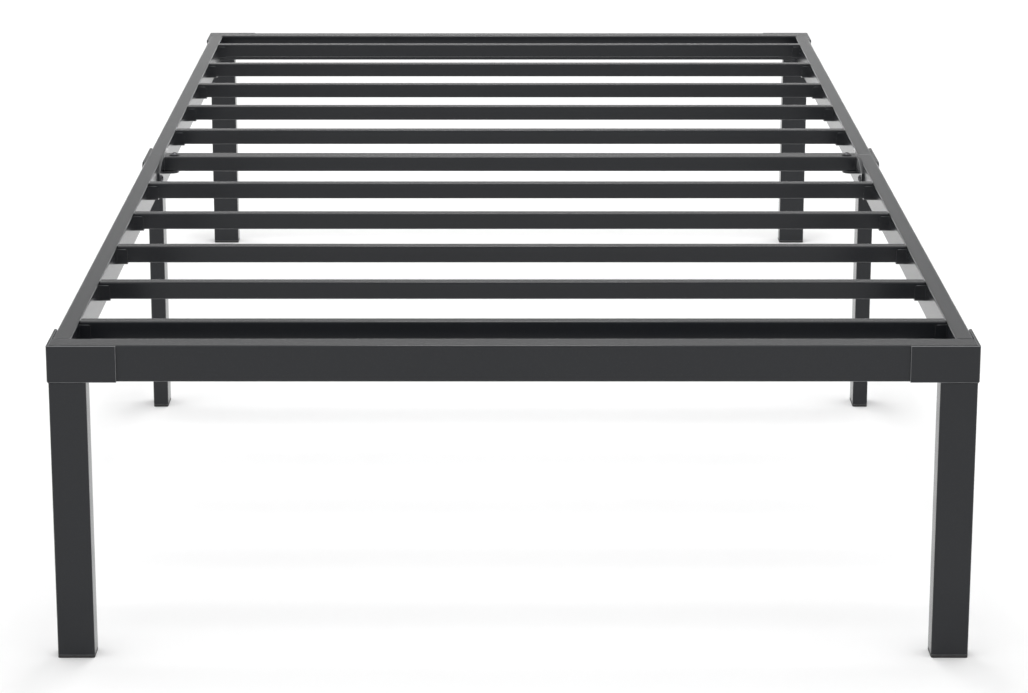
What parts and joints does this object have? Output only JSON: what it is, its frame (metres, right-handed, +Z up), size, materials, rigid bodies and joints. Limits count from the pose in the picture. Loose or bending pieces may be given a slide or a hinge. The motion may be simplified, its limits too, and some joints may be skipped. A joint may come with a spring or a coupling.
{
  "type": "metal bed frame",
  "caption": "Low knock-down platform bed frame of dark powder-coated steel tube: a slatted rim on corner legs, with bolted mid joints over mid legs.",
  "frame": {"origin": "on the floor under the middle of the bed", "axes": "+Z up, +Y along the bed from the foot end to the head end, +X across the bed to the right as seen from the foot end"},
  "size_m": [0.99, 2.032, 0.353],
  "materials": {
    "frame_steel": "satin charcoal powder coat",
    "foot_plastic": "moulded black, fine grain",
    "bolt_black": "black zinc",
    "nut_zinc": "bright zinc"
  },
  "bodies": {
    "root": {"front_rail": "frame_steel", "rear_rail": "frame_steel", "centre_cross_rail": "frame_steel", "side_rail_front_left": "frame_steel", "side_rail_front_right": "frame_steel", "side_rail_rear_left": "frame_steel", "side_rail_rear_right": "frame_steel", "slat_1": "frame_steel", "slat_2": "frame_steel", "slat_3": "frame_steel", "slat_4": "frame_steel", "slat_5": "frame_steel", "slat_6": "frame_steel", "slat_7": "frame_steel", "slat_8": "frame_steel", "slat_9": "frame_steel", "slat_10": "frame_steel", "slat_holders_front_left": "frame_steel", "slat_holders_front_right": "frame_steel", "slat_holders_rear_left": "frame_steel", "slat_holders_rear_right": "frame_steel", "corner_leg_front_left": "frame_steel", "corner_leg_front_right": "frame_steel", "corner_leg_rear_left": "frame_steel", "corner_leg_rear_right": "frame_steel", "corner_bracket_front_left": "frame_steel", "corner_bracket_front_right": "frame_steel", "corner_bracket_rear_left": "frame_steel", "corner_bracket_rear_right": "frame_steel", "mid_leg_left": "frame_steel", "mid_leg_right": "frame_steel", "outer_joint_plate_left": "frame_steel", "outer_joint_plate_right": "frame_steel", "inner_joint_plate_left": "frame_steel", "inner_joint_plate_right": "frame_steel", "corner_leg_top_plates": "frame_steel", "mid_leg_top_plates": "frame_steel", "foot_cap_front_left": "foot_plastic", "foot_cap_front_right": "foot_plastic", "foot_cap_rear_left": "foot_plastic", "foot_cap_rear_right": "foot_plastic", "foot_cap_mid_left": "foot_plastic", "foot_cap_mid_right": "foot_plastic", "corner_bolts": "bolt_black", "joint_bolts": "bolt_black", "cross_rail_bolts": "bolt_black", "corner_weld_nuts": "nut_zinc", "joint_inserts": "nut_zinc", "cross_rail_nuts": "nut_zinc"}
  },
  "joints": []
}
